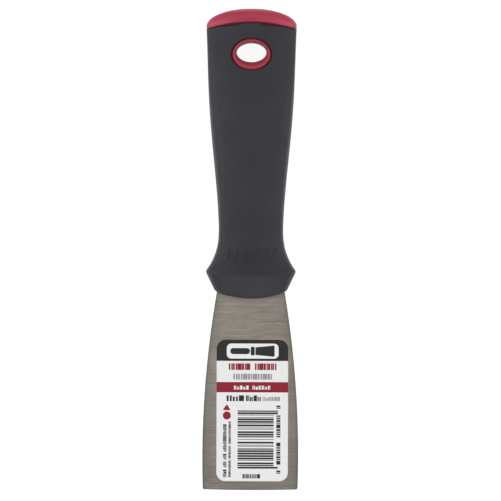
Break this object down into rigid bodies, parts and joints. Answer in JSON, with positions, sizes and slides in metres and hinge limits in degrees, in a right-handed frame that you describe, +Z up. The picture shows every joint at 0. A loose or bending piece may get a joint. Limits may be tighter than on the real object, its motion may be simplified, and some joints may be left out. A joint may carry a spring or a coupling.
{
  "type": "putty knife",
  "caption": "Narrow flexible putty and taping knife: ground steel blade, two-shot handle with a butt cap and a hanging hole, and a printed label on the blade.",
  "frame": {"origin": "on the surface that the knife lies on, below the middle of its length and width", "axes": "+Y along the knife towards the butt of the handle, +Z up out of its front face, +X across the blade"},
  "size_m": [0.038, 0.1912, 0.019],
  "materials": {
    "blade_steel": "ground across the blade, satin",
    "core_plastic": "moulded, semi-gloss red",
    "grip_rubber": "soft moulded grip, matte charcoal",
    "label_paper": null
  },
  "bodies": {
    "root": {"blade": "blade_steel", "handle_core": "core_plastic", "grip": "grip_rubber", "front_label": "label_paper"}
  },
  "joints": []
}
